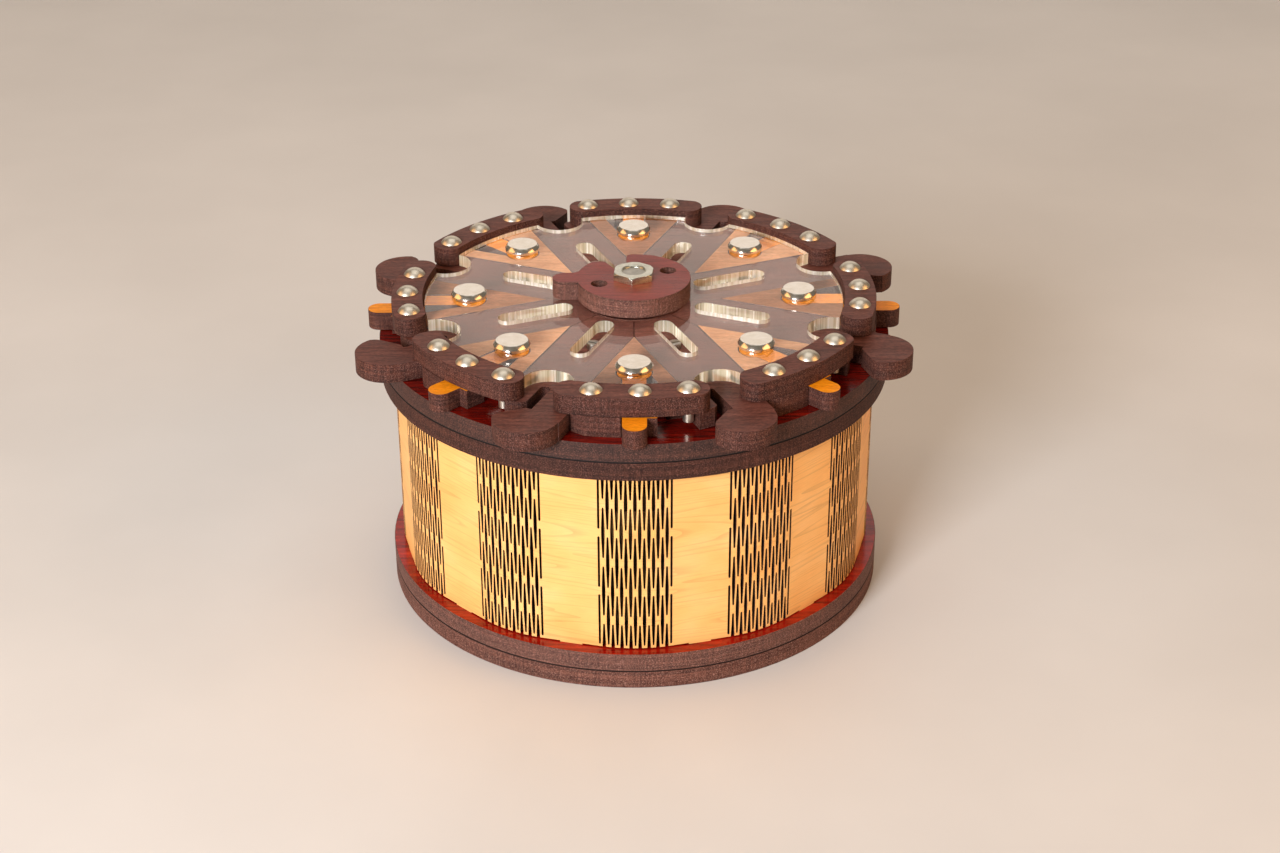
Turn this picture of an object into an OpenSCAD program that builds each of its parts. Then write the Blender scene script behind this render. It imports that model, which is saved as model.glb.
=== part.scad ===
// Round puzzle box: a kerf-bent wooden drum with a lift-off lid that carries
// eight sliding levers, eight swinging pawls, a clear cover plate and a turning
// hub whose spindle works a lock bar inside. Millimetres, +Z up, origin at the
// centre of the underside. Sector parts are drawn pointing along -Y and turned
// into place, so +X of a sector is its counterclockwise side.

/* [Box] */
// Radius of the base discs and of the lid discs
disc_r = 81; // [76:0.2:100]
// How far the discs' rims stand out past the wall
overhang = 3.9; // [2:0.1:8]
// Thickness of one sheet of plywood
sheet_t = 6.1; // [5:0.1:8]
// Height of the bent wall between base and lid
wall_h = 61.4; // [50:0.2:90]
// How far the lid's rim stands out past the base's
lid_out = 0.8; // [0:0.1:2]
// Thickness of the bent wall
wall_t = 3; // [2:0.5:4]

/* [Levers] */
// Number of levers, pawls, spacers and arcs
sectors = 8; // [8:1:8]
// Width of a lever
lever_w = 20.8; // [17:0.1:21.2]
// How far the centre of a lever's round head stands past the rim
head_out = 1.5; // [0:0.1:3]
// How much slimmer the head is than the bar, on each side
head_inset = 0.3; // [0.2:0.1:2]
// Width of the slit that frees a lever's spring prong
slit_w = 3.3; // [1.5:0.1:4]
// Width of the spring prong
prong_w = 6.4; // [5:0.1:7]
// Length of the slit beside the prong
slit_len = 12.8; // [8:0.1:16]
// How far in from the rim the prong ends
prong_in = 5.8; // [4:0.1:8]
// How far a lever slides out
lever_travel = 10; // [6:0.5:10]
// Radius of the pin on a lever
lever_pin_r = 1.9; // [1.5:0.1:2.4]
// How far the pin stands from the box centre, lever pushed in
lever_pin_at = 33; // [30:0.5:34]

/* [Pawls] */
// How far in from the rim a pawl's pivot stands
pivot_in = 28.2; // [26:0.1:31]
// Width of a pawl
pawl_w = 7.4; // [6:0.1:8]
// How far a pawl's round tip reaches past the rim
pawl_out = 4.5; // [1:0.1:9]
// Radius of the eye round the pivot
pawl_eye_r = 5.3; // [4.5:0.1:5.6]
// How far a pawl swings, in degrees
pawl_swing = 20; // [12:1:20]
// How far the stop tooth stands out from a pawl's side
tooth_w = 3; // [2:0.1:3.4]
// Radius of the pivot post
post_r = 2.5; // [2:0.1:3]
// Radius of the flat top of a pivot button
button_top_r = 5.05; // [4:0.05:6]
// Radius of a pivot button at its widest
button_r = 5.75; // [5:0.05:7]
// Height of a pivot button above the clear plate
button_h = 2.2; // [1:0.1:3]

/* [Clear plate] */
// Thickness of the clear plate
plate_t = 4; // [3:0.5:6]
// Width of a slot in the clear plate
slot_w = 6; // [5:0.1:7]
// Spare length of a slot on each side of the lever pin's travel
slot_spare = 1.1; // [0.5:0.1:2]
// Length of a slot towards the centre from the pin at rest
slot_inward = 11.8; // [3:0.1:12]
// Radius of a rim notch
notch_r = 8; // [6:0.1:9]

/* [Arcs] */
// How far in from the rim the arcs' outer sides stand
arc_in = 3.6; // [2:0.1:6]
// Width of an arc
arc_w = 9.9; // [8:0.1:10.5]
// Gap between the arcs and the clear plate
plate_gap = 0.5; // [0.3:0.1:1]
// Clockwise end of an arc, in degrees
arc_from = -19; // [-19.2:0.1:-16]
// Counterclockwise end of an arc, in degrees
arc_to = 17.7; // [15:0.1:19]
// Radius of a rivet's shank and of a stop pin
rivet_r = 1.7; // [1.2:0.1:1.7]
// Radius of a rivet's domed head
dome_r = 3.5; // [2.5:0.05:3.7]
// Height of a rivet's domed head
dome_h = 2.1; // [1.2:0.1:2.4]

/* [Hub and lock] */
// Radius of the hub
hub_r = 18.2; // [16:0.1:19]
// Width of the finger on the hub
finger_w = 7.6; // [6:0.1:9]
// How far the finger reaches from the centre
finger_to = 26; // [23:0.1:28]
// Radius of the threaded spindle
bolt_r = 3.5; // [3:0.05:4]
// Outer radius of the sleeve round the spindle
sleeve_r = 6; // [5.5:0.1:7]
// Size of the hex nut and bolt head across flats
hex_af = 12.2; // [11:0.1:14]
// Height of the nut
nut_h = 2.4; // [2:0.1:6.5]
// Gap between the end of the lock bar and the wall
bar_gap = 4.6; // [2:0.1:6]
// Width of the lock bar
bar_w = 18; // [12:0.5:22]
// Depth of a keeper from the wall inwards
keeper_d = 12; // [9:0.5:14]
// Width of the locating ring under the lid
ring_w = 10; // [8:0.5:14]

/* [Clearances] */
// Between a sliding or swinging piece and what it slides along
slide_gap = 0.3; // [0.3:0.05:0.5]
// Above and below a piece that slides or turns between two sheets
layer_gap = 0.2; // [0.1:0.05:0.3]
// Radial running fit of pins and shafts
run_fit = 0.08; // [0.05:0.01:0.1]
// Between the locating discs and the inside of the wall
locate_gap = 0.3; // [0.3:0.05:0.6]

/* [Hidden] */
$fn = 96;
step_a = 360 / sectors;
numbers = [for (k = [1 : sectors]) k];

// Heights, from the table up
z_floor = 2 * sheet_t;
z_lid = z_floor + wall_h;
z_lever = z_lid + 2 * sheet_t;
lever_layer_t = sheet_t + 2 * layer_gap;
z_plate = z_lever + lever_layer_t;
z_plate_top = z_plate + plate_t;
z_hub = z_plate_top + layer_gap;
z_nut = z_hub + sheet_t;
z_arc_top = z_plate + sheet_t;
z_keeper = z_lid - 2 * sheet_t - 2.5;
keeper_t = sheet_t;
z_bar = z_keeper - 2 * layer_gap - sheet_t;
washer_t = 1.6;
z_washer = z_bar - washer_t;
bolt_head_h = 5.3;

// Radii, from the rim inwards
wall_r = disc_r - overhang;
wall_in_r = wall_r - wall_t;
bar_to = wall_in_r - bar_gap;
pawl_to = disc_r + pawl_out;
head_at = disc_r + head_out;
arc_out_r = disc_r - arc_in;
arc_in_r = arc_out_r - arc_w;
rivet_at = (arc_in_r + arc_out_r) / 2;
plate_r = arc_in_r - plate_gap;
prong_to = disc_r - prong_in;
slit_from = prong_to - slit_len;
pivot_at = disc_r - pivot_in;

// Widths and angles that follow from the driving ones
head_r = lever_w / 2 - head_inset;
channel_half = lever_w / 2 + slide_gap;
pocket_half = pawl_w / 2 + slide_gap;
pocket_swing = pawl_swing + 1.5;
half_step = step_a / 2;
apex_at = channel_half / sin(half_step);
sleeve_bore_r = bolt_r + 0.15;
sleeve_hole_r = sleeve_r + run_fit;
centre_spacer_r = 16;
lever_from = centre_spacer_r + 0.5;
tooth_len = 6.9;
corner_cut = 7.3; // depth of the spacer's cut corner, inward from the arc's rim
rivet_pitch_a = 11.35;
stop_pin_a = half_step
    - asin((channel_half + rivet_r) / rivet_at);
keeper_half_a = 25;
far = 3 * disc_r;

module place(k, offset_a = 0) rotate([0, 0, (k - 1) * step_a + offset_a]) children();
module at_polar(r, a) rotate([0, 0, a]) translate([0, -r, 0]) children();

// A ring standing on z = 0
module ring(r_out, r_in, h) difference() {
    cylinder(r = r_out, h = h);
    translate([0, 0, -1]) cylinder(r = r_in, h = h + 2);
}

// A pie slice of angle 2 * half_a about -Y, large enough to cut any disc here
module slice(half_a) polygon([[0, 0],
    [-far * sin(half_a), -far * cos(half_a)], [0, -far],
    [far * sin(half_a), -far * cos(half_a)]]);

// ---- Drum ----
module base_disc_lower() color("#3a2420") cylinder(r = disc_r, h = sheet_t);
module base_disc_upper() color("#7a1410") translate([0, 0, sheet_t])
    cylinder(r = disc_r, h = sheet_t);
module floor_disc() color("#c9a878") translate([0, 0, z_floor])
    cylinder(r = wall_in_r - locate_gap, h = sheet_t);
module wall() color("#f0c070") translate([0, 0, z_floor])
    ring(wall_r, wall_in_r, wall_h);

// Two blocks glued inside the wall, under which the lock bar turns
module keepers() color("#c9a878") for (side = [0, 180])
    translate([0, 0, z_keeper]) rotate([0, 0, side]) intersection() {
        ring(wall_in_r, wall_in_r - keeper_d, keeper_t);
        translate([0, 0, -1]) linear_extrude(keeper_t + 2) slice(keeper_half_a);
    }

// ---- Lid ----
module lid_disc(z) translate([0, 0, z]) ring(disc_r + lid_out, sleeve_hole_r, sheet_t);
module lid_disc_lower() color("#3a2420") lid_disc(z_lid);
module lid_disc_upper() color("#7a1410") difference() {
    lid_disc(z_lid + sheet_t);
    for (k = numbers) place(k) translate([0, -pivot_at, z_lid + sheet_t - 1])
        cylinder(r = post_r, h = sheet_t + 2);
    for (k = numbers) place(k) translate([0, 0, z_lid + sheet_t - 1])
        at_polar(rivet_at, stop_pin_a - 2 * rivet_pitch_a) cylinder(r = rivet_r, h = sheet_t + 2);
}
module locating_ring() color("#c9a878") translate([0, 0, z_lid - sheet_t])
    ring(wall_in_r - locate_gap, wall_in_r - locate_gap - ring_w, sheet_t);
module centre_spacer() color("#6b4640") translate([0, 0, z_lever])
    ring(centre_spacer_r, sleeve_hole_r, lever_layer_t);

// Room for a pawl at rest, swung out, and all the way between
module pawl_pocket() translate([0, -pivot_at]) {
    circle(r = pawl_eye_r + slide_gap);
    polygon([[-pocket_half, 0], [-pocket_half, -far],
        [pocket_half * cos(pocket_swing) + far * sin(pocket_swing),
            pocket_half * sin(pocket_swing) - far * cos(pocket_swing)],
        [pocket_half * cos(pocket_swing), pocket_half * sin(pocket_swing)]]);
}

// The fixed wedge between two levers, with the pocket for its pawl
module spacer(k) color("#e2952e") place(k) translate([0, 0, z_lever]) difference() {
    linear_extrude(lever_layer_t) difference() {
        intersection() {
            translate([0, -apex_at]) slice(half_step);
            circle(r = arc_out_r + slide_gap);
            // Only the clockwise half reaches under the arc
            union() {
                circle(r = plate_r);
                translate([-far, -far]) square([far, far]);
            }
            // Corner cut off beside the lever
            rotate([0, 0, -half_step - 14]) translate([-far, corner_cut - arc_out_r])
                square([2 * far, 2 * far]);
        }
        pawl_pocket();
    }
    translate([0, 0, -1]) at_polar(rivet_at, stop_pin_a - 2 * rivet_pitch_a)
        cylinder(r = rivet_r, h = lever_layer_t + 2);
}

// ---- Levers ----
module lever_outline() difference() {
    union() {
        intersection() {
            translate([0, -slide_gap / 2 / sin(half_step)]) slice(half_step);
            translate([-lever_w / 2, -head_at]) square([lever_w, head_at]);
        }
        translate([0, -head_at]) circle(r = head_r);
    }
    circle(r = lever_from);
    // Slit beside the prong, with a round inner end
    translate([prong_w - lever_w / 2, -prong_to - 2]) square([slit_w, prong_to + 2 - slit_from - slit_w / 2]);
    translate([prong_w - lever_w / 2 + slit_w / 2, -slit_from - slit_w / 2]) circle(r = slit_w / 2);
    // Notch between the end of the prong and the head
    polygon([[-lever_w, -prong_to], [-lever_w / 2, -prong_to],
        [-lever_w / 2 + prong_w - 1.2, -prong_to + 0.8], [-lever_w / 2 + prong_w, -prong_to + 2],
        [-lever_w / 2 + prong_w + slit_w, -prong_to], [-lever_w / 2 + prong_w + slit_w - 0.8, -prong_to - 1.3],
        [-lever_w / 2 + 1.9, -prong_to - 7.2], [-lever_w / 2 + 1.1, -prong_to - 8.4],
        [-lever_w / 2 + 0.75, -prong_to - 9.8], [-lever_w, -prong_to - 13]]);
}
module lever(k) color("#6b4640") place(k, half_step) translate([0, 0, z_lever + layer_gap])
    difference() {
        linear_extrude(sheet_t) lever_outline();
        translate([0, -lever_pin_at, -1]) cylinder(r = lever_pin_r, h = sheet_t + 2);
    }
// A slotted pin that rises from the lever into the slot of the clear plate
module lever_pin(k) color("#c8c2b0") place(k, half_step)
    translate([0, -lever_pin_at, z_lever + layer_gap]) difference() {
        cylinder(r = lever_pin_r, h = sheet_t + plate_t / 2);
        translate([-lever_pin_r - 1, -0.4, sheet_t + plate_t / 2 - 0.9])
            cube([2 * lever_pin_r + 2, 0.8, 2]);
    }

// ---- Pawls ----
module pawl(k) color("#f39a12") place(k) translate([0, 0, z_lever + layer_gap]) difference() {
    linear_extrude(sheet_t) union() {
        translate([0, -pivot_at]) circle(r = pawl_eye_r);
        translate([-pawl_w / 2, -pawl_to + pawl_w / 2]) square([pawl_w, pawl_to - pawl_w / 2 - pivot_at]);
        translate([0, -pawl_to + pawl_w / 2]) circle(r = pawl_w / 2);
        intersection() {
            translate([0, -arc_out_r]) square([pawl_w / 2 + tooth_w, tooth_len]);
            circle(r = arc_out_r + slide_gap);
        }
    }
    translate([0, -pivot_at, -1]) cylinder(r = post_r + run_fit, h = sheet_t + 2);
}

// ---- Clear plate ----
module clear_plate() color([0.85, 0.9, 0.9, 0.4]) translate([0, 0, z_plate]) difference() {
    cylinder(r = plate_r, h = plate_t);
    translate([0, 0, -1]) cylinder(r = sleeve_hole_r, h = plate_t + 2);
    for (k = numbers) place(k) translate([0, -pivot_at, -1]) cylinder(r = post_r, h = plate_t + 2);
    for (k = numbers) place(k, half_step) {
        translate([0, 0, -1]) linear_extrude(plate_t + 2) slot_outline();
        translate([0, -plate_r, -1]) cylinder(r = notch_r, h = plate_t + 2);
    }
}
// A straight slot with round ends, for the lever pin
module slot_outline() {
    slot_in = lever_pin_at - slot_inward + slot_w / 2;
    slot_out = lever_pin_at + lever_travel + lever_pin_r + slot_spare - slot_w / 2;
    translate([0, -slot_in]) circle(r = slot_w / 2);
    translate([0, -slot_out]) circle(r = slot_w / 2);
    translate([-slot_w / 2, -slot_out]) square([slot_w, slot_out - slot_in]);
}

// ---- Arcs and their pins ----
module arc(k) color("#553530") place(k) translate([0, 0, z_plate]) difference() {
    linear_extrude(sheet_t) arc_outline();
    for (n = [0 : 2]) translate([0, 0, -1])
        at_polar(rivet_at, stop_pin_a - n * rivet_pitch_a) cylinder(r = rivet_r, h = sheet_t + 2);
}
// A ring segment with round ends, which count within the angles. The end circles are a
// little wider than the ring, so that they cross its sides instead of just touching them.
module arc_outline() {
    end_r = (arc_out_r - arc_in_r) / 2 + 0.3;
    end_a = asin(end_r / rivet_at);
    intersection() {
        difference() { circle(r = arc_out_r); circle(r = arc_in_r); }
        union() {
            rotate([0, 0, (arc_from + arc_to) / 2]) slice((arc_to - arc_from) / 2 - end_a);
            for (a = [arc_from + end_a, arc_to - end_a]) rotate([0, 0, a])
                translate([0, -rivet_at]) circle(r = end_r);
        }
    }
}
// A domed head on z = 0
module dome() {
    ball_r = (dome_r * dome_r + dome_h * dome_h) / (2 * dome_h);
    intersection() {
        translate([0, 0, dome_h - ball_r]) sphere(r = ball_r);
        cylinder(r = dome_r, h = dome_h + 1);
    }
}
module domed_pin(from_z) {
    translate([0, 0, z_arc_top]) dome();
    translate([0, 0, from_z]) cylinder(r = rivet_r, h = z_arc_top - from_z + 0.2);
}
// Clockwise rivets go through arc, spacer and lid disc; the middle ones hold in the arc only
module arc_rivets() color("#d8d2c4") for (k = numbers) place(k) {
    at_polar(rivet_at, stop_pin_a - 2 * rivet_pitch_a) domed_pin(z_lid + sheet_t);
    at_polar(rivet_at, stop_pin_a - rivet_pitch_a) domed_pin(z_plate);
}
// The counterclockwise pin hangs below its arc, beside the lever, and stops the pawl
module stop_pins() color("#d8d2c4") for (k = numbers) place(k)
    at_polar(rivet_at, stop_pin_a) domed_pin(z_lever + 2);
// Post and chamfered button on which a pawl turns
module pivot_buttons() color("#d8d2c4") for (k = numbers) place(k)
    translate([0, -pivot_at, 0]) {
        translate([0, 0, z_lid + sheet_t]) cylinder(r = post_r, h = z_plate_top - z_lid - sheet_t + 0.5);
        translate([0, 0, z_plate_top]) cylinder(r = button_r, h = button_h * 0.45);
        translate([0, 0, z_plate_top + button_h * 0.45])
            cylinder(r1 = button_r, r2 = button_top_r, h = button_h * 0.55);
    }

// ---- Hub, spindle and lock ----
hub_hole_r = 2.6;
hub_hole_at = [11, 5];
finger_a = 89.5; // direction of the finger, clockwise from -Y
notch_corner_r = 2;
notch_side = 2.4; // distance of the notch's right side from the centre line

// Disc with a finger, a round fillet on its far side, and an open notch at the back
module hub_outline() difference() {
    union() {
        circle(r = hub_r);
        rotate([0, 0, -finger_a]) finger_outline();
    }
    polygon([[-notch_side, 6], [-notch_side, far], [-far, far], [-13.6, 12.6], [-9.4, 12.4], [-5.6, 5.5]]);
    // Round corner where the notch's right side meets the rim
    corner_x = notch_corner_r - notch_side;
    corner_y = sqrt(pow(hub_r - notch_corner_r, 2) - corner_x * corner_x);
    difference() {
        polygon([[-notch_side - 1, corner_y], [corner_x, corner_y],
            [corner_x, corner_y] * far / corner_y, [-far, far]]);
        translate([corner_x, corner_y]) circle(r = notch_corner_r);
    }
    for (s = [-1, 1]) translate(s * hub_hole_at) circle(r = hub_hole_r);
}
module finger_outline() {
    fillet_r = 3;
    side = finger_w / 2;
    along = sqrt(pow(hub_r + fillet_r, 2) - pow(side + fillet_r, 2));
    translate([0, -finger_to + side]) circle(r = side);
    translate([-side, -finger_to + side]) square([finger_w, finger_to - side]);
    difference() {
        polygon([[0, 0], [-side - fillet_r, -along], [side, -along]]);
        translate([-side - fillet_r, -along]) circle(r = fillet_r);
    }
}
module hub() color("#6e2e2c") translate([0, 0, z_hub]) difference() {
    linear_extrude(sheet_t) hub_outline();
    translate([0, 0, -1]) cylinder(r = sleeve_bore_r, h = sheet_t + 2);
}
module hex(h) cylinder(r = hex_af / 2 / cos(30), h = h, $fn = 6);
nut_turn = 25; // turn of the nut's corners from +X, in degrees
module nut() color("#d8d2c4") translate([0, 0, z_nut]) rotate([0, 0, nut_turn]) difference() {
    intersection() {
        hex(nut_h);
        // Chamfered corners on top
        cylinder(r1 = hex_af / 2 + nut_h + 0.3, r2 = hex_af / 2 + 0.3, h = nut_h);
    }
    translate([0, 0, -1]) cylinder(r = bolt_r, h = nut_h + 2);
    // Countersunk mouth
    translate([0, 0, nut_h - 0.5]) cylinder(r1 = bolt_r, r2 = bolt_r + 0.6, h = 0.6);
}
module spindle_bolt() color("#d8d2c4") translate([0, 0, z_washer - bolt_head_h]) {
    hex(bolt_head_h);
    cylinder(r = bolt_r, h = z_nut + nut_h - 0.6 - z_washer + bolt_head_h);
}
module sleeve() color("#c8c2b0") translate([0, 0, z_bar + sheet_t])
    ring(sleeve_r, sleeve_bore_r, z_hub - z_bar - sheet_t);
module bar_spacer() color("#c9a878") translate([0, 0, z_bar + sheet_t])
    ring(14, sleeve_r, z_lid - layer_gap - z_bar - sheet_t);
module lock_bar() color("#c9a878") translate([0, 0, z_bar]) difference() {
    linear_extrude(sheet_t) intersection() {
        circle(r = bar_to);
        translate([-bar_to, -bar_w / 2]) square([2 * bar_to, bar_w]);
    }
    translate([0, 0, -1]) cylinder(r = sleeve_bore_r, h = sheet_t + 2);
}
module washer() color("#c8c2b0") translate([0, 0, z_washer]) ring(9, sleeve_bore_r, washer_t);

base_disc_lower();
base_disc_upper();
floor_disc();
wall();
keepers();
lid_disc_lower();
lid_disc_upper();
locating_ring();
centre_spacer();
for (k = numbers) spacer(k);
for (k = numbers) lever(k);
for (k = numbers) lever_pin(k);
for (k = numbers) pawl(k);
for (k = numbers) arc(k);
clear_plate();
arc_rivets();
stop_pins();
pivot_buttons();
hub();
nut();
spindle_bolt();
sleeve();
bar_spacer();
lock_bar();
washer();
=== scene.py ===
import math
import random

import bmesh
import bpy
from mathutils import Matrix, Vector
from mathutils.geometry import delaunay_2d_cdt


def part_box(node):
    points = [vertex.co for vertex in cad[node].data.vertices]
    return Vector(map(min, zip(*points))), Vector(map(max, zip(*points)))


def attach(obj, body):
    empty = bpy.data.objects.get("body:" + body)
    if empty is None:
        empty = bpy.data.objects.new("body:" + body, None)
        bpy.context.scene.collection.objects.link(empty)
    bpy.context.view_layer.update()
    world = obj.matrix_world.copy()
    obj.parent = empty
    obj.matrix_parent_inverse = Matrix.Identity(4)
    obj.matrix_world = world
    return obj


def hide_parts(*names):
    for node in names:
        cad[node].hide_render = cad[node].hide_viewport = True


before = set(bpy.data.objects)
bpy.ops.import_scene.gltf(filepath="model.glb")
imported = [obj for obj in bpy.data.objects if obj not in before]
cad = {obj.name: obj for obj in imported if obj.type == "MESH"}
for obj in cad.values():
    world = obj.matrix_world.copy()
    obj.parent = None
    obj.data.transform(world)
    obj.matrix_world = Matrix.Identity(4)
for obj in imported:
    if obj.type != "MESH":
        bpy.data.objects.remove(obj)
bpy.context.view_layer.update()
mm = 0.001
sectors = 8  # levers, pawls, spacers and arcs
sectorAngle = 360 / sectors
print("frame loaded,", len(cad), "nodes")


def hexColour(text):  # sRGB hex to the linear values the shaders want
    parts = [int(text[i:i + 2], 16) / 255 for i in (1, 3, 5)]
    return tuple(c / 12.92 if c <= 0.04045 else ((c + 0.055) / 1.055) ** 2.4 for c in parts) + (1.0,)


def addNode(tree, kind, settings=None, links=None):
    node = tree.nodes.new(kind)
    for key, value in (settings or {}).items():
        if key == "stops":  # colour ramp: (position, hex)
            ramp = node.color_ramp.elements
            while len(ramp) < len(value):
                ramp.new(0.5)
            for element, (place, colour) in zip(ramp, value):
                element.position = place
                element.color = hexColour(colour)
        elif isinstance(key, int) or key in node.inputs:
            node.inputs[key].default_value = value
        else:
            setattr(node, key, value)
    for key, source in (links or {}).items():
        tree.links.new(source, node.inputs[key])
    return node


def newMaterial(name, settings):
    material = bpy.data.materials.new(name)
    material.use_nodes = True
    tree = material.node_tree
    tree.nodes.clear()
    shader = addNode(tree, "ShaderNodeBsdfPrincipled", settings)
    addNode(tree, "ShaderNodeOutputMaterial", None, {"Surface": shader.outputs[0]})
    return material, tree, shader


def dress(piece, materials, body):
    for material in materials:
        piece.data.materials.append(material)
    for face in piece.data.polygons:
        face.use_smooth = True
    piece.data.set_sharp_from_angle(angle=math.radians(35))  # steeper corners than this stay crisp
    bpy.context.scene.collection.objects.link(piece)
    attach(piece, body)
    return piece


def softEdges(piece, width):  # a cut edge is never perfectly sharp, and its roundness catches light
    bevel = piece.modifiers.new("edge", "BEVEL")
    bevel.width = width
    bevel.segments = 2
    bevel.limit_method = "ANGLE"
    bevel.angle_limit = math.radians(40)
    bevel.harden_normals = True


def finished(node, material, body, edge=0.12 * mm):
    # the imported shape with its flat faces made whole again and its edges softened
    mesh = cad[node].data.copy()
    mesh.materials.clear()
    bm = bmesh.new()
    bm.from_mesh(mesh)
    bmesh.ops.remove_doubles(bm, verts=bm.verts, dist=0.01 * mm)
    bmesh.ops.dissolve_limit(bm, angle_limit=math.radians(0.4), verts=bm.verts, edges=bm.edges)
    bm.to_mesh(mesh)
    bm.free()
    piece = dress(bpy.data.objects.new(node + "_made", mesh), [material], body)
    softEdges(piece, edge)
    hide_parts(node)
    return piece


def lathe(name, profile, centre, materials, body, steps=64):
    # turns (radius, height) points about an upright axis through centre; both ends lie on the axis
    verts = []
    faces = []
    rings = []
    for radius, height in profile:
        if radius == 0:
            rings.append([len(verts)])
            verts.append((centre[0], centre[1], height))
            continue
        rings.append(range(len(verts), len(verts) + steps))
        for i in range(steps):
            a = math.tau * i / steps
            verts.append((centre[0] + radius * math.cos(a), centre[1] + radius * math.sin(a), height))
    for low, high in zip(rings, rings[1:]):
        for i in range(steps):
            j = (i + 1) % steps
            loop = [low[i % len(low)], low[j % len(low)], high[j % len(high)], high[i % len(high)]]
            faces.append(list(dict.fromkeys(loop)))
    mesh = bpy.data.meshes.new(name)
    mesh.from_pydata(verts, [], faces)
    return dress(bpy.data.objects.new(name, mesh), materials, body)


def atPolar(radius, degrees):  # 0 degrees is the front, counterclockwise from above
    a = math.radians(degrees)
    return radius * math.sin(a), -radius * math.cos(a)


# the camera stands in front of the box and looks down on its lid
camera = {
    "lens": 61.76,
    "aim": (0, 0, 48.5 * mm),
    "distance": 726.9 * mm,
    "elevation": 27.875,
    "roll": -0.287,
    "shift": 0.0043,  # the box stands a touch left of the middle
}
eye = bpy.data.cameras.new("camera")
eye.lens = camera["lens"]
eye.sensor_width = 36  # full frame
eye.shift_x = camera["shift"]
eye.clip_start = 0.01
eyeObject = bpy.data.objects.new("camera", eye)
lift = math.radians(camera["elevation"])
eyeObject.location = Vector(camera["aim"]) + camera["distance"] * Vector((0, -math.cos(lift), math.sin(lift)))
gaze = Vector(camera["aim"]) - eyeObject.location
turned = gaze.to_track_quat("-Z", "Y").to_euler()
turned.rotate_axis("Z", math.radians(camera["roll"]))
eyeObject.rotation_euler = turned
bpy.context.scene.collection.objects.link(eyeObject)
bpy.context.scene.camera = eyeObject
print("camera set")


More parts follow.
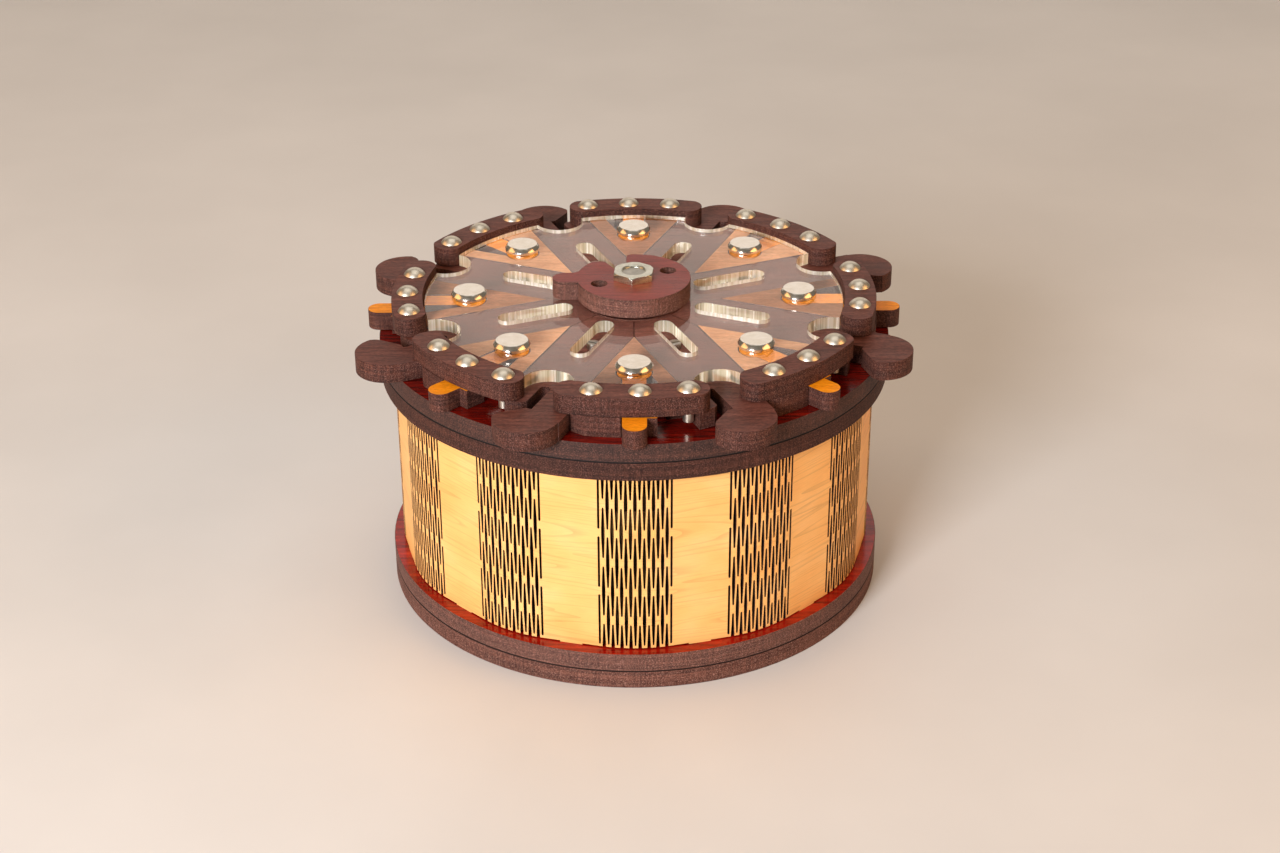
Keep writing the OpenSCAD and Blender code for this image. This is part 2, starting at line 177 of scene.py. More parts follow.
# birch plywood, laser-cut, then wiped with a dye stain: the faces keep fine short pores under a thin
# varnish, the cut edges are burnt nearly black with pale char specks and show the plies as faint lines
def stainedPly(name, look, turn=0.0, shift=0.0, seamAt=None, shadeFrom=None):
    material, tree, shader = newMaterial(name, {"IOR": look["ior"], "Specular IOR Level": look["gloss"]})
    coords = addNode(tree, "ShaderNodeTexCoord").outputs["Object"]
    place = addNode(tree, "ShaderNodeSeparateXYZ", None, {0: coords})

    # each pattern's length, width and height in mm, its detail, its place in the noise and its turn
    pattern = {}
    for key, size, detail, offset, spin in (
            ("figure", (14, 1.3, 1.3), 4, 3.1, turn),  # slow streaks of the grain
            ("pores", (1.3, 0.3, 0.3), 2, 8.7, turn),
            ("cloud", (18, 12, 12), 2, 5.3, turn),  # where the stain took more or less
            ("plies", (60, 60, 0.8), 2, 1.7, 0.0),
            ("scorch", (0.7, 0.7, 10), 3, 4.2, 0.0),  # upright streaks on a cut edge
            ("specks", (0.3, 0.3, 0.25), 2, 7.9, 0.0)):  # grains of char
        spot = addNode(tree, "ShaderNodeMapping", {
            "Location": (offset + shift, offset * 0.7 - shift, offset), "Rotation": (0, 0, spin),
            "Scale": [1 / (side * mm) for side in size]}, {"Vector": coords})
        pattern[key] = addNode(tree, "ShaderNodeTexNoise", {"Scale": 1.0, "Detail": detail, "Roughness": 0.6},
                               {"Vector": spot.outputs[0]}).outputs["Fac"]

    # face: stained grain, darker in the pores and in the clouds
    grain = addNode(tree, "ShaderNodeValToRGB", {"stops": [
        (0.26, look["faceDark"]), (0.5, look["faceMid"]), (0.76, look["faceLight"])]},
        {"Fac": pattern["figure"]})
    poreShade = addNode(tree, "ShaderNodeMapRange", {
        "From Min": 0.34, "From Max": 0.64, "To Min": look["poreDark"], "To Max": 1.22},
        {"Value": pattern["pores"]})
    cloudShade = addNode(tree, "ShaderNodeMapRange", {
        "From Min": 0.3, "From Max": 0.7, "To Min": 0.88, "To Max": 1.12}, {"Value": pattern["cloud"]})
    shade = addNode(tree, "ShaderNodeMath", {"operation": "MULTIPLY"},
                    {0: poreShade.outputs[0], 1: cloudShade.outputs[0]})
    face = addNode(tree, "ShaderNodeVectorMath", {"operation": "SCALE"},
                   {0: grain.outputs["Color"], "Scale": shade.outputs[0]})

    # edge: plies and scorch streaks, with pale grains of char on top
    plyPart = addNode(tree, "ShaderNodeMath", {"operation": "MULTIPLY", 1: 0.55}, {0: pattern["plies"]})
    layers = addNode(tree, "ShaderNodeMath", {"operation": "MULTIPLY_ADD", 1: 0.45},
                     {0: pattern["scorch"], 2: plyPart.outputs[0]})
    edge = addNode(tree, "ShaderNodeValToRGB", {"stops": [
        (0.32, look["edgeDark"]), (0.5, look["edgeMid"]), (0.68, look["edgeLight"])]},
        {"Fac": layers.outputs[0]})
    charred = addNode(tree, "ShaderNodeMapRange", {
        "From Min": 0.5, "From Max": 0.74, "To Min": 0.0, "To Max": 0.8}, {"Value": pattern["specks"]})
    speckled = addNode(tree, "ShaderNodeMix", {"data_type": "RGBA", 7: hexColour(look["char"])},
                       {0: charred.outputs[0], 6: edge.outputs["Color"]})
    edgeColour = speckled.outputs[2]
    if seamAt is not None:  # soot and shadow in the joint between two stacked sheets
        above = addNode(tree, "ShaderNodeMath", {"operation": "SUBTRACT", 1: seamAt}, {0: place.outputs["Z"]})
        away = addNode(tree, "ShaderNodeMath", {"operation": "ABSOLUTE"}, {0: above.outputs[0]})
        ragged = addNode(tree, "ShaderNodeMath", {"operation": "MULTIPLY_ADD", 1: -0.3 * mm},
                         {0: pattern["scorch"], 2: away.outputs[0]})
        soot = addNode(tree, "ShaderNodeMapRange", {
            "From Min": 0.06 * mm, "From Max": 0.22 * mm, "To Min": 0.04, "To Max": 1.0},
            {"Value": ragged.outputs[0]})
        edgeColour = addNode(tree, "ShaderNodeVectorMath", {"operation": "SCALE"},
                             {0: edgeColour, "Scale": soot.outputs[0]}).outputs[0]

    # the face's look goes where the surface is level, the edge's look everywhere else
    normal = addNode(tree, "ShaderNodeNewGeometry").outputs["Normal"]
    across = addNode(tree, "ShaderNodeSeparateXYZ", None, {0: normal})
    level = addNode(tree, "ShaderNodeMath", {"operation": "ABSOLUTE"}, {0: across.outputs["Z"]})
    onFace = addNode(tree, "ShaderNodeMapRange", {
        "From Min": 0.9, "From Max": 0.97, "To Min": 0.0, "To Max": 1.0},
        {"Value": level.outputs[0]}).outputs[0]
    if shadeFrom is not None:  # painted shade: where the face passes under the arc it takes the dark edge colour
        flatPlace = addNode(tree, "ShaderNodeVectorMath", {"operation": "MULTIPLY", 1: (1, 1, 0)},
                            {0: coords})
        fromAxis = addNode(tree, "ShaderNodeVectorMath", {"operation": "LENGTH"}, {0: flatPlace.outputs[0]})
        unshaded = addNode(tree, "ShaderNodeMapRange", {
            "From Min": shadeFrom - 0.4 * mm, "From Max": shadeFrom, "To Min": 1.0, "To Max": 0.0},
            {"Value": fromAxis.outputs["Value"]})
        onFace = addNode(tree, "ShaderNodeMath", {"operation": "MULTIPLY"},
                         {0: onFace, 1: unshaded.outputs[0]}).outputs[0]
    colour = addNode(tree, "ShaderNodeMix", {"data_type": "RGBA"},
                     {0: onFace, 6: edgeColour, 7: face.outputs[0]})
    tree.links.new(colour.outputs[2], shader.inputs["Base Color"])
    faceRough = addNode(tree, "ShaderNodeMapRange", {
        "From Min": 0.3, "From Max": 0.7, "To Min": look["rough"] - 0.05, "To Max": look["rough"] + 0.08},
        {"Value": pattern["cloud"]})
    rough = addNode(tree, "ShaderNodeMix", {"data_type": "FLOAT", 2: look["edgeRough"]},
                    {0: onFace, 3: faceRough.outputs[0]})
    tree.links.new(rough.outputs[0], shader.inputs["Roughness"])
    relief = addNode(tree, "ShaderNodeMix", {"data_type": "FLOAT"},
                     {0: onFace, 2: pattern["specks"], 3: pattern["pores"]})
    bump = addNode(tree, "ShaderNodeBump", {"Strength": look["relief"], "Distance": 0.05 * mm},
                   {"Height": relief.outputs[0]})
    tree.links.new(bump.outputs[0], shader.inputs["Normal"])
    return material


walnut = {
    "faceDark": "#4A271F", "faceMid": "#653A30", "faceLight": "#7E4D41",
    "poreDark": 0.56,  # how dark a pore is against its surroundings
    "edgeDark": "#1C0B07", "edgeMid": "#3A1C14", "edgeLight": "#5C3225", "char": "#94675A",
    "rough": 0.5, "edgeRough": 0.7, "ior": 1.45, "gloss": 0.28, "relief": 0.5,
}
# painted light and painted shade: the edges of the base and the hub get a lighter copy of the walnut's edge
# colours, the lid's edge a darker copy
litEdgeWalnut = dict(walnut, edgeDark="#2C150F", edgeMid="#502D23", edgeLight="#75493B", char="#B88A7A")
shadedEdgeWalnut = dict(walnut, edgeDark="#160906", edgeMid="#301710", edgeLight="#4C2A1F", char="#825648")
# painted shade: the centre spacer under the clear plate gets near-black walnut, for the shade it lies in
# beside the hub
shadedInnerWalnut = dict(walnut, faceDark="#22100C", faceMid="#301812", faceLight="#42241C")
redStain = dict(walnut, faceDark="#5A0804", faceMid="#8C1409", faceLight="#B0240C",
                rough=0.16, ior=1.5, gloss=0.4, relief=0.15, poreDark=0.85)
# painted shade: the lid's red top gets a darker copy of the red stain, for the shade it lies in under the
# levers and arcs
shadedRed = dict(redStain, faceDark="#300503", faceMid="#5E0C06", faceLight="#8C190A")
maroonStain = dict(litEdgeWalnut, faceDark="#64231D", faceMid="#7C2F28", faceLight="#8E3D34",
                   rough=0.3, gloss=0.4, relief=0.25, poreDark=0.84)
orangeStain = dict(walnut, faceDark="#D27606", faceMid="#E6890B", faceLight="#F29A16",
                   rough=0.42, relief=0.3, poreDark=0.9)
apricotStain = dict(orangeStain, faceDark="#BC855C", faceMid="#CA966E", faceLight="#D5A580")
# unstained birch, for the pieces inside the box
bare = dict(walnut, faceDark="#8A6238", faceMid="#A0764A", faceLight="#B48C60", edgeDark="#4A2F1B",
            edgeMid="#7A5636", edgeLight="#A07850", char="#2A1A10", rough=0.55, relief=0.4, poreDark=0.85)

dice = random.Random(11)
grainReach = 40  # two pieces come from places in the pattern up to this far apart


def grainTurn():  # each piece was cut from the sheet in its own direction and place
    return dice.uniform(0, math.tau), dice.uniform(0, grainReach)


discEdge = 0.25 * mm
for body, lower, dark, red in (("box", "base_disc_lower", litEdgeWalnut, redStain),
                               ("lid", "lid_disc_lower", shadedEdgeWalnut, shadedRed)):
    upper = lower.replace("lower", "upper")
    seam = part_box(upper)[0].z
    red = dict(red, **{key: dark[key] for key in ("edgeDark", "edgeMid", "edgeLight", "char")})
    for node, slot, ply, look in ((lower, "dark_plywood", "walnutPly_", dark),
                                  (upper, "red_plywood", "redPly_", red)):
        finished(node, stainedPly(ply + node, look, *grainTurn(), seamAt=seam), body, discEdge)
shadedInnerPly = stainedPly("shadedWalnutPly_centre_spacer", shadedInnerWalnut, *grainTurn())
finished("centre_spacer", shadedInnerPly, "lid")
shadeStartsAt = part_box("clear_plate")[1].x + 0.5 * mm  # distance from the axis where the spacers' painted shade under the arcs begins
for k in range(1, sectors + 1):
    alongArc = -math.radians(sectorAngle * (k - 1))
    arcPly = stainedPly(f"walnutPly_arc_{k}", walnut, alongArc, dice.uniform(0, grainReach))
    finished(f"arc_{k}", arcPly, "lid")
    spacerPly = stainedPly(f"apricotPly_spacer_{k}", apricotStain, *grainTurn(), shadeFrom=shadeStartsAt)
    finished(f"spacer_{k}", spacerPly, "lid")
    leverPly = stainedPly(f"walnutPly_lever_{k}", walnut, *grainTurn())
    finished(f"lever_{k}", leverPly, f"lever_{k}")
    pawlPly = stainedPly(f"orangePly_pawl_{k}", orangeStain, *grainTurn())
    finished(f"pawl_{k}", pawlPly, f"pawl_{k}")
hubPly = stainedPly("maroonPly_hub", maroonStain, turn=0.3, shift=6.0)
finished("hub", hubPly, "rotor")
barePly = stainedPly("barePly", bare)
for node in ("floor_disc", "keepers", "locating_ring", "bar_spacer", "lock_bar"):
    cad[node].data.materials.clear()
    cad[node].data.materials.append(barePly)
print("plywood pieces made")


# a flat sheet with twelve slit bands; only the bands bend, the plain panels between them stay flat
wallLow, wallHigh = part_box("wall")
wall = {
    "bulge": 0.8 * mm,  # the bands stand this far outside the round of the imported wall
    "thick": 2.8 * mm,
    "bands": 12,
    "columns": 17,  # of slits in a band
    "pitch": 1.385 * mm,  # from one column to the next
    "period": 20.5 * mm,  # from one slit to the next in a column
    "longSlit": 17.8 * mm,  # first, third, fifth ... column
    "shortSlit": 17.5 * mm,  # the columns between
    "slitEnd": 0.56 * mm,  # width at a slit's blunt end
    "slitMiddle": 1.12 * mm,  # width at a slit's middle
    "slitFlat": 1.4 * mm,  # the middle keeps its full width this far up and down
    "sideSlit": 0.7 * mm,  # width of the first and last column's slits, which stay straight
    "footGap": 0.4 * mm,  # the foot stands clear of the base except at its tabs
    "tab": 0.4,  # share of a plain panel's width that is a tab
    "backFigure": 196 * mm,  # the sheet's back shows another stretch of wood
}


# maple-faced sheet: growth lines run along it; its face is sanded and oiled to a pale honey. Its back is
# painted shade: dark browns that stand in for the shade inside the box, so the slits look dark
def mapleFace(name, tones):
    material, tree, shader = newMaterial(name, {"IOR": 1.48, "Specular IOR Level": 0.25})
    sheet = addNode(tree, "ShaderNodeUVMap", {"uv_map": "sheet"}).outputs[0]  # metres along and up the sheet
    pattern = {}
    for key, long, wide, detail, offset, distortion in (  # length and width in mm
            ("waves", 190, 8, 1, 2.0, 0.15),
            ("fibres", 5, 0.22, 3, 7.0, 0.0),
            ("cloud", 26, 16, 2, 11.0, 0.0)):
        place = addNode(tree, "ShaderNodeMapping", {
            "Location": (offset, offset * 1.3, 0), "Rotation": (0, 0, 0.02),
            "Scale": (1 / (long * mm), 1 / (wide * mm), 1)}, {"Vector": sheet})
        pattern[key] = addNode(tree, "ShaderNodeTexNoise", {
            "Scale": 1.0, "Detail": detail, "Roughness": 0.55, "Distortion": distortion},
            {"Vector": place.outputs[0]}).outputs["Fac"]

    # growth lines are the places where the slow waves cross set levels
    lines = addNode(tree, "ShaderNodeMath", {"operation": "MULTIPLY", 1: 17.0}, {0: pattern["waves"]})
    saw = addNode(tree, "ShaderNodeMath", {"operation": "FRACT"}, {0: lines.outputs[0]})
    lineMask = addNode(tree, "ShaderNodeMapRange", {
        "From Min": 0.0, "From Max": 0.28, "To Min": 0.8, "To Max": 1.0}, {"Value": saw.outputs[0]})
    fibreMask = addNode(tree, "ShaderNodeMapRange", {
        "From Min": 0.35, "From Max": 0.65, "To Min": 0.94, "To Max": 1.05}, {"Value": pattern["fibres"]})
    tone = addNode(tree, "ShaderNodeValToRGB", {"stops": [
        (0.3, tones[0]), (0.52, tones[1]), (0.75, tones[2])]}, {"Fac": pattern["cloud"]})
    shade = addNode(tree, "ShaderNodeMath", {"operation": "MULTIPLY"},
                    {0: lineMask.outputs[0], 1: fibreMask.outputs[0]})
    colour = addNode(tree, "ShaderNodeVectorMath", {"operation": "SCALE"},
                     {0: tone.outputs["Color"], "Scale": shade.outputs[0]})
    tree.links.new(colour.outputs[0], shader.inputs["Base Color"])
    rough = addNode(tree, "ShaderNodeMapRange", {
        "From Min": 0.3, "From Max": 0.7, "To Min": 0.4, "To Max": 0.52}, {"Value": pattern["cloud"]})
    tree.links.new(rough.outputs[0], shader.inputs["Roughness"])
    bump = addNode(tree, "ShaderNodeBump", {"Strength": 0.25, "Distance": 0.04 * mm},
                   {"Height": pattern["fibres"]})
    tree.links.new(bump.outputs[0], shader.inputs["Normal"])
    return material


# the slits' walls: charred by the laser, dark brown, dull
def charredCut():
    material, tree, shader = newMaterial("laserCharredMaple", {"Roughness": 0.75, "IOR": 1.45})
    coords = addNode(tree, "ShaderNodeTexCoord").outputs["Object"]
    soot = addNode(tree, "ShaderNodeTexNoise", {"Scale": 1 / (0.9 * mm), "Detail": 3}, {"Vector": coords})
    tone = addNode(tree, "ShaderNodeValToRGB", {"stops": [
        (0.3, "#1A0B07"), (0.55, "#34170E"), (0.8, "#54291A")]}, {"Fac": soot.outputs["Fac"]})
    tree.links.new(tone.outputs["Color"], shader.inputs["Base Color"])
    return material


def slitOutline(along, middle, length, flared):
    # a long slot, counterclockwise, that swells to its middle if it is flared
    end = (wall["slitEnd"] if flared else wall["sideSlit"]) / 2
    half = length / 2
    waist = wall["slitMiddle"] / 2 if flared else end
    flat = wall["slitFlat"]
    shoulder = half - 0.8 * end
    side = [(0.5 * end, -half), (end, -shoulder), (waist, -flat), (waist, flat), (end, shoulder),
            (0.5 * end, half)]
    return [(along + sign * x, middle + sign * y) for sign in (1, -1) for x, y in side]


def clipToSheet(outline, low, high):
    # cuts an outline off at the sheet's edges
    def clip(points, inside, level):
        kept = []
        for a, b in zip(points, points[1:] + points[:1]):
            if inside(a):
                kept.append(a)
            if inside(a) != inside(b):
                t = (level - a[1]) / (b[1] - a[1])
                kept.append((a[0] + t * (b[0] - a[0]), level))
        return kept
    outline = clip(outline, lambda p: p[1] > low, low)
    return clip(outline, lambda p: p[1] < high, high)


def insideOf(point, outline):
    x, y = point
    odd = False
    for (ax, ay), (bx, by) in zip(outline, outline[1:] + outline[:1]):
        if (ay > y) != (by > y) and x < (bx - ax) * (y - ay) / (by - ay) + ax:
            odd = not odd
    return odd


def buildWall():
    height = wallHigh.z - wallLow.z
    bands, columns, pitch = wall["bands"], wall["columns"], wall["pitch"]
    halfTurn = math.pi / bands  # a band bends this far to each side of its middle
    reach = pitch * (columns - 1) / 2  # from a band's middle to its last column
    halfBend = reach + pitch / 4
    bendRadius = halfBend / halfTurn
    bendCentre = wallHigh.x + wall["bulge"] - bendRadius  # distance from the box's axis
    halfPanel = bendCentre * math.sin(halfTurn)
    halfWidth = halfBend + halfPanel  # of one band and the plain panel half on each side
    foot = wall["footGap"]
    overrun = 1e-9  # a slit that runs off the sheet's foot ends this far past it

    def onPlan(along, depth, turn):
        # where a point of the sheet goes, seen from above; turn is the band's direction
        a = max(-halfTurn, min(halfTurn, along / bendRadius))
        beyond = math.copysign(max(0.0, abs(along) - halfBend), along)
        out = Vector((math.cos(a), math.sin(a)))
        side = Vector((-math.sin(a), math.cos(a)))
        spot = Vector((bendCentre, 0)) + (bendRadius - depth) * out + beyond * side
        return (spot.x * math.cos(turn) - spot.y * math.sin(turn),
                spot.x * math.sin(turn) + spot.y * math.cos(turn))

    slits = []
    for c in range(columns):
        along = c * pitch - reach
        if c % 2 == 0:
            length = wall["longSlit"]
            steps = (-1, 0, 1)
        else:
            length = wall["shortSlit"]
            steps = (-1.5, -0.5, 0.5, 1.5)
        for step in steps:
            centre = height / 2 + step * wall["period"]
            outline = slitOutline(along, centre, length, 0 < c < columns - 1)
            slits.append((along, centre, length, clipToSheet(outline, foot - overrun, height)))

    # the sheet's edge, with the foot's tab split between the two ends of the pattern
    tabEdge = halfWidth - halfPanel * wall["tab"]
    rowSteps = 16  # up the sheet
    topSteps = 28  # along its top
    rows = [foot + (height - foot) * i / rowSteps for i in range(rowSteps + 1)]
    border = [(-halfWidth, 0), (-tabEdge, 0), (-tabEdge, foot), (tabEdge, foot), (tabEdge, 0), (halfWidth, 0)]
    border += [(halfWidth, y) for y in rows[:-1]]
    border += [(halfWidth * (1 - 2 * i / topSteps), height) for i in range(topSteps + 1)]
    border += [(-halfWidth, y) for y in reversed(rows[:-1])]
    points = []
    edges = []
    for loop in [border] + [slit[3] for slit in slits]:
        first = len(points)
        points += [Vector((x / mm, y / mm)) for x, y in loop]  # worked in mm, which suits the triangulation
        edges += [(first + i, first + (i + 1) % len(loop)) for i in range(len(loop))]
    for x in (halfBend, halfBend + halfPanel / 3, halfBend + halfPanel * 2 / 3):
        points += [Vector((sign * x / mm, y / mm)) for sign in (-1, 1) for y in rows[1:-1]]
    sameSpot = 1e-5  # mm between points that count as one
    flatPoints, _, triangles, _, _, _ = delaunay_2d_cdt(points, edges, [], 1, sameSpot)
    flatPoints = [(v.x * mm, v.y * mm) for v in flatPoints]
    kept = []
    for face in triangles:
        x, y = (sum(flatPoints[i][axis] for i in face) / 3 for axis in (0, 1))
        inSlit = any(abs(x - along) < pitch and abs(y - centre) < length / 2 and insideOf((x, y), outline)
                     for along, centre, length, outline in slits)
        if not inSlit and insideOf((x, y), border):
            kept.append(face)

    # edges with a face on one side only get a charred wall, apart from those where two bands join
    directed = {(a, b) for face in kept for a, b in zip(face, face[1:] + face[:1])}
    joined = {i for i, (x, _) in enumerate(flatPoints) if abs(abs(x) - halfWidth) < 0.001 * mm}
    rim = [(a, b) for a, b in sorted(directed) if (b, a) not in directed and not {a, b} <= joined]

    oiled = mapleFace("oiledMaple", ("#F0AE62", "#F4B96E", "#F7C27E"))
    # painted shade: the sheet's back in dark browns, seen through the slits
    shadedBack = mapleFace("shadedBackMaple", ("#2E1B10", "#3C2416", "#4C2F1D"))
    finishes = [oiled, charredCut(), shadedBack]
    frontFinish, cutFinish, backFinish = range(3)

    bm = bmesh.new()
    sheetUv = bm.loops.layers.uv.new("sheet")
    for band in range(-bands // 2, bands // 2):  # the sheet's two ends meet at the back
        turn = 2 * halfTurn * band - math.pi / 2
        layers = []
        for depth in (0, wall["thick"]):
            made = [bm.verts.new((*onPlan(x, depth, turn), wallLow.z + y)) for x, y in flatPoints]
            layers.append(made)
            for face in kept:
                order = face if depth == 0 else face[::-1]
                bent = bm.faces.new([made[i] for i in order])
                bent.material_index = backFinish if depth else frontFinish
                for loop, i in zip(bent.loops, order):
                    x, y = flatPoints[i]
                    loop[sheetUv].uv = (x + 2 * band * halfWidth, y + (wall["backFigure"] if depth else 0))
        outside, inside = layers
        for a, b in rim:
            cut = bm.faces.new([outside[b], outside[a], inside[a], inside[b]])
            cut.material_index = cutFinish
    bmesh.ops.delete(bm, geom=[v for v in bm.verts if not v.link_faces], context="VERTS")
    bmesh.ops.remove_doubles(bm, verts=bm.verts, dist=0.004 * mm)  # joins each band to the next
    openEdges = sum(1 for e in bm.edges if len(e.link_faces) != 2)
    print("wall faces", len(bm.faces), "open edges", openEdges)
    mesh = bpy.data.meshes.new("bentWall")
    bm.to_mesh(mesh)
    bm.free()
    piece = dress(bpy.data.objects.new("bentWall", mesh), finishes, "box")
    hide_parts("wall")


buildWall()
print("wall bent")


# small metal parts: a soft mirror whose fine scratches run one way
def scratchedMetal(name, tint, rough, scratch):
    material, tree, shader = newMaterial(name, {"Metallic": 1.0})
    coords = addNode(tree, "ShaderNodeTexCoord").outputs["Object"]
    film = addNode(tree, "ShaderNodeTexNoise", {"Scale": 1 / (2.5 * mm), "Detail": 3}, {"Vector": coords})
    tone = addNode(tree, "ShaderNodeValToRGB", {"stops": [(0.35, tint[0]), (0.65, tint[1])]},
                   {"Fac": film.outputs["Fac"]})
    tree.links.new(tone.outputs["Color"], shader.inputs["Base Color"])
    stretched = addNode(tree, "ShaderNodeMapping", {
        "Rotation": (0, 0, 0.6), "Scale": (1 / (3 * mm), 1 / (0.12 * mm), 1 / (0.12 * mm))},
        {"Vector": coords})
    hair = addNode(tree, "ShaderNodeTexNoise", {"Scale": 1.0, "Detail": 2}, {"Vector": stretched.outputs[0]})
    shine = addNode(tree, "ShaderNodeMapRange", {
        "From Min": 0.3, "From Max": 0.7, "To Min": rough, "To Max": rough + 0.14},
        {"Value": hair.outputs["Fac"]})
    tree.links.new(shine.outputs[0], shader.inputs["Roughness"])
    bump = addNode(tree, "ShaderNodeBump", {"Strength": scratch, "Distance": 0.01 * mm},
                   {"Height": hair.outputs["Fac"]})
    tree.links.new(bump.outputs[0], shader.inputs["Normal"])
    return material


# nickel plate, barrel-polished: bright and warm, nearly a mirror
polished = scratchedMetal("polishedNickel", ("#F0E8DA", "#F6F0E6"), 0.12, 0.05)
# nickel plate as it leaves the bath: the same warm tint, a softer shine
nickel = scratchedMetal("satinNickel", ("#D9D0BE", "#E6DECF"), 0.32, 0.1)
# zinc plate: a faint green cast
zinc = scratchedMetal("zincPlatedSteel", ("#D2D2C4", "#E2E1D4"), 0.22, 0.15)
# bare steel from the lathe: darker, with clearer tool marks
turnedSteel = scratchedMetal("turnedSteel", ("#A8A59C", "#BCB8AE"), 0.26, 0.3)

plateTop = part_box("clear_plate")[1].z
buttonLow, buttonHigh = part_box("pivot_buttons")
button = {
    "pivot": 52.8 * mm,  # radius of the circle that the buttons stand on
    "post": 2.5 * mm,
    "rim": 5.75 * mm,
    "top": 5.05 * mm,
    "waist": 0.45,  # share of the head's height where its chamfer starts
    "soft": 0.12 * mm,  # rounding of its corners
}


def arcPoints(radius, height, start, stop, count, corner):
    # points on a quarter-round of the given corner radius about (radius, height)
    angles = [math.radians(start + (stop - start) * i / count) for i in range(count + 1)]
    return [(radius + corner * math.cos(a), height + corner * math.sin(a)) for a in angles]


def buildButtons():
    seat, top = plateTop, buttonHigh.z
    waist = seat + (top - seat) * button["waist"]
    soft = button["soft"]
    profile = [(0, buttonLow.z), (button["post"], buttonLow.z), (button["post"], seat),
               (button["rim"] - soft, seat)]
    profile += arcPoints(button["rim"] - soft, seat + soft, -70, 0, 3, soft)
    profile += arcPoints(button["rim"] - soft, waist - soft, 0, 40, 3, soft)
    profile += arcPoints(button["top"] - 2 * soft, top - 2 * soft, 55, 90, 4, 2 * soft)
    profile += [(0, top)]
    for k in range(sectors):
        centre = atPolar(button["pivot"], sectorAngle * k)
        piece = lathe(f"pivotButton_{k + 1}", profile, centre, [polished], "lid")
        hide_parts("pivot_buttons")


buildButtons()

rivetLow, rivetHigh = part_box("arc_rivets")
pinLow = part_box("stop_pins")[0]
rivet = {
    "circle": 72.45 * mm,  # radius of the circle that the pins stand on
    "stopAngle": 12.64,  # degrees round the box's axis from a pivot button to its stop pin
    "pitch": 11.35,  # degrees from one pin to the next
    "shank": 1.7 * mm,
    "dome": 3.5 * mm,
    "rise": 2.1 * mm,  # height of the dome
}


def domedPin(name, angle, low, node):
    # a domed head with a thin rolled rim on a plain shank
    shank = rivet["shank"]
    dome = rivet["dome"]
    chamfer = 0.15 * mm
    top = rivetHigh.z
    seat = top - rivet["rise"]
    ball = (dome ** 2 + rivet["rise"] ** 2) / (2 * rivet["rise"])
    profile = [(0, low), (shank - chamfer, low), (shank, low + chamfer), (shank, seat),
               (dome - 0.1 * mm, seat)]
    rim = math.asin((dome - 0.02 * mm) / ball)
    steps = 14
    for i in range(steps):
        a = rim * (1 - i / steps)
        profile.append((ball * math.sin(a), top - ball + ball * math.cos(a)))
    profile.append((0, top))
    piece = lathe(name, profile, atPolar(rivet["circle"], angle), [nickel], "lid", 48)
    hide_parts(node)


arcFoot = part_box("arc_1")[0].z
for k in range(sectors):
    angle = sectorAngle * k + rivet["stopAngle"]
    domedPin(f"stopPin_{k + 1}", angle, pinLow.z, "stop_pins")
    domedPin(f"middleRivet_{k + 1}", angle - rivet["pitch"], arcFoot, "arc_rivets")
    domedPin(f"outerRivet_{k + 1}", angle - 2 * rivet["pitch"], rivetLow.z, "arc_rivets")

for k in range(1, sectors + 1):
    finished(f"lever_pin_{k}", turnedSteel, f"lever_{k}", 0.1 * mm)
for node in ("spindle_bolt", "sleeve", "washer"):
    cad[node].data.materials.clear()
    cad[node].data.materials.append(turnedSteel)
finished("nut", zinc, "rotor", 0.15 * mm)
print("metal pieces made")


# cast acrylic: water-clear and mirror-flat on its faces
def castAcrylic():
    material, tree, shader = newMaterial("castAcrylic", {
        "Base Color": hexColour("#FDFBF6"), "IOR": 1.49, "Transmission Weight": 1.0})
    coords = addNode(tree, "ShaderNodeTexCoord").outputs["Object"]
    haze = addNode(tree, "ShaderNodeTexNoise", {"Scale": 1 / (7 * mm), "Detail": 3}, {"Vector": coords})
    smear = addNode(tree, "ShaderNodeMapRange", {
        "From Min": 0.4, "From Max": 0.8, "To Min": 0.0, "To Max": 0.05}, {"Value": haze.outputs["Fac"]})
    tree.links.new(smear.outputs[0], shader.inputs["Roughness"])
    return material


# its cut walls: the laser leaves fine upright ridges and a faint straw tint; their pale cream, streaked
# colour is painted light, standing in for the light the plastic catches inside
def cutAcrylicWithPaintedLight():
    material, tree, shader = newMaterial("laserCutAcrylicPaintedLight", {"IOR": 1.49, "Transmission Weight": 0.52})
    coords = addNode(tree, "ShaderNodeTexCoord").outputs["Object"]
    ridge = 0.8 * mm
    flat = addNode(tree, "ShaderNodeMapping", {"Scale": (1 / ridge, 1 / ridge, 0)}, {"Vector": coords})
    ridges = addNode(tree, "ShaderNodeTexNoise", {"Scale": 1.0, "Detail": 2}, {"Vector": flat.outputs[0]})
    # painted light: pale cream stripes stand in for the light caught inside the cut wall
    tone = addNode(tree, "ShaderNodeValToRGB", {"stops": [
        (0.34, "#BDB293"), (0.5, "#DAD2BA"), (0.64, "#F2ECDC")]}, {"Fac": ridges.outputs["Fac"]})
    tree.links.new(tone.outputs["Color"], shader.inputs["Base Color"])
    frost = addNode(tree, "ShaderNodeMapRange", {
        "From Min": 0.3, "From Max": 0.7, "To Min": 0.1, "To Max": 0.3}, {"Value": ridges.outputs["Fac"]})
    tree.links.new(frost.outputs[0], shader.inputs["Roughness"])
    bump = addNode(tree, "ShaderNodeBump", {"Strength": 0.4, "Distance": 0.1 * mm},
                   {"Height": ridges.outputs["Fac"]})
    tree.links.new(bump.outputs[0], shader.inputs["Normal"])
    return material


def acrylicPlate():
    plate = finished("clear_plate", castAcrylic(), "lid", 0.15 * mm)
    plate.data.materials.append(cutAcrylicWithPaintedLight())
    for face in plate.data.polygons:
        face.material_index = 1 if abs(face.normal.z) < 0.5 else 0  # its upright walls are the cut ones
    plate.visible_shadow = False  # clear plastic lets nearly all light through to the wood


acrylicPlate()
print("clear plate made")


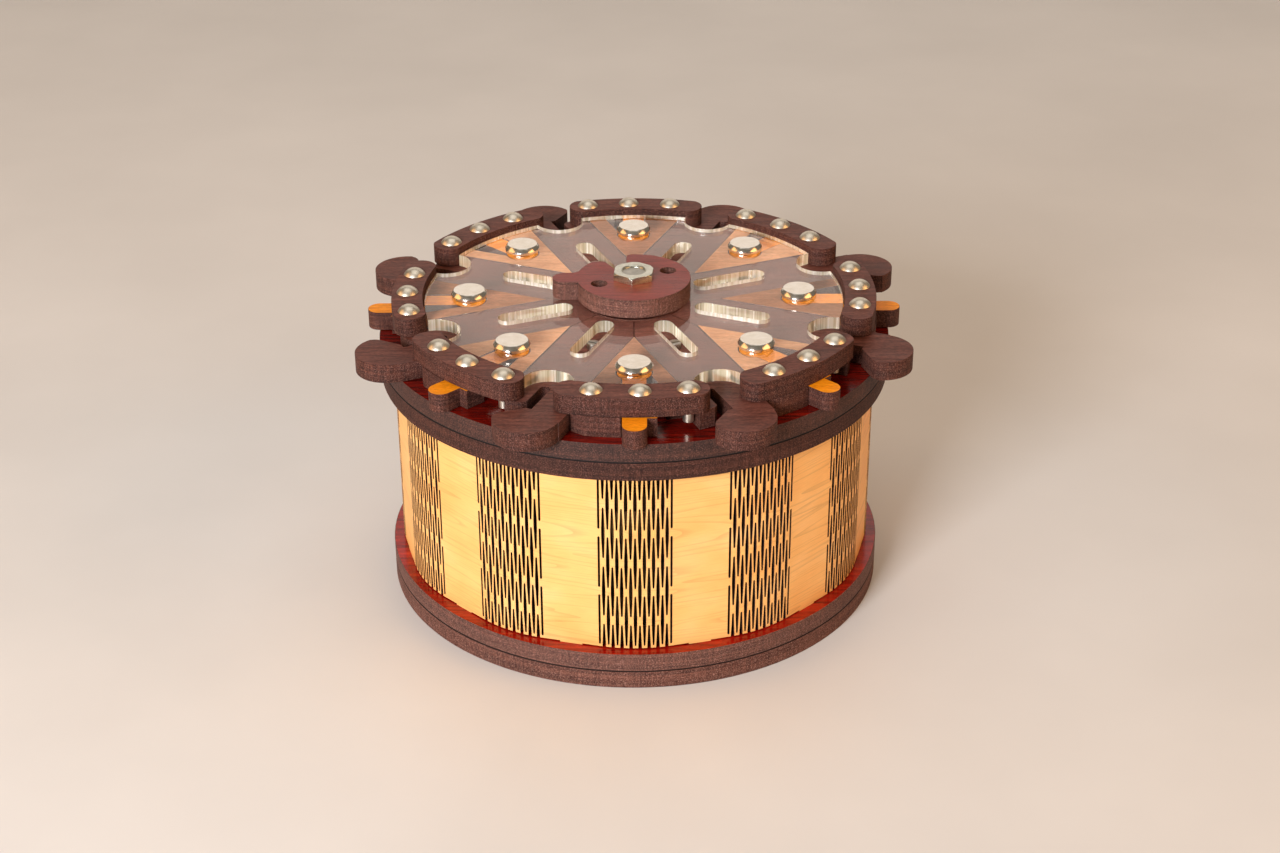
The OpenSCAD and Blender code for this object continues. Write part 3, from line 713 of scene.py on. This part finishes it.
# painted board: pale and matt, with a faint mottle
def paleFloor():
    material, tree, shader = newMaterial("paleFloor", {"Roughness": 0.5})
    coords = addNode(tree, "ShaderNodeTexCoord").outputs["Object"]
    mottle = addNode(tree, "ShaderNodeTexNoise", {"Scale": 9.0, "Detail": 4}, {"Vector": coords})
    tone = addNode(tree, "ShaderNodeValToRGB", {"stops": [(0.3, "#D6D3CE"), (0.7, "#DEDBD6")]},
                   {"Fac": mottle.outputs["Fac"]})
    tree.links.new(tone.outputs["Color"], shader.inputs["Base Color"])
    return material


floorMesh = bpy.data.meshes.new("floor")
floorReach = 6.0
corners = ((-1, -1), (1, -1), (1, 1), (-1, 1))
floorMesh.from_pydata([(floorReach * x, floorReach * y, 0) for x, y in corners], [], [(0, 1, 2, 3)])
floorMesh.materials.append(paleFloor())
floor = bpy.data.objects.new("floor", floorMesh)
bpy.context.scene.collection.objects.link(floor)


def softBox(name, place, aim, width, height, power, colour):
    light = bpy.data.lights.new(name, "AREA")
    light.shape = "RECTANGLE"
    light.size = width
    light.size_y = height
    light.energy = power
    light.color = hexColour(colour)[:3]
    lamp = bpy.data.objects.new(name, light)
    lamp.location = place
    lamp.rotation_euler = (Vector(aim) - Vector(place)).to_track_quat("-Z", "Y").to_euler()
    bpy.context.scene.collection.objects.link(lamp)


softBox("keyLight", (-0.5, -1.0, 0.5), (0, 0, 0.06), 0.4, 0.4, 17.2, "#FAFAFF")
softBox("rightLight", (1.0, -0.4, 0.6), (0, 0, 0.06), 0.8, 0.8, 5.4, "#FFBE74")
softBox("leftLight", (-1.1, -0.1, 0.6), (0, 0, 0.06), 0.8, 0.8, 3.4, "#FFBE74")
softBox("topLight", (0, 0.1, 1.3), (0, 0, 0.06), 1.1, 1.1, 4.0, "#FFFAF4")
softBox("backLight", (0, 1.3, 0.7), (0, 0, 0.08), 2.0, 0.9, 4.4, "#FFF2E8")

world = bpy.data.worlds.new("studio")
world.use_nodes = True
worldTree = world.node_tree
worldTree.nodes.clear()
sky = addNode(worldTree, "ShaderNodeBackground", {"Color": hexColour("#FFF0DC"), "Strength": 0.15})
addNode(worldTree, "ShaderNodeOutputWorld", None, {"Surface": sky.outputs[0]})
bpy.context.scene.world = world
bpy.context.scene.view_settings.view_transform = "Standard"
print("studio lit")
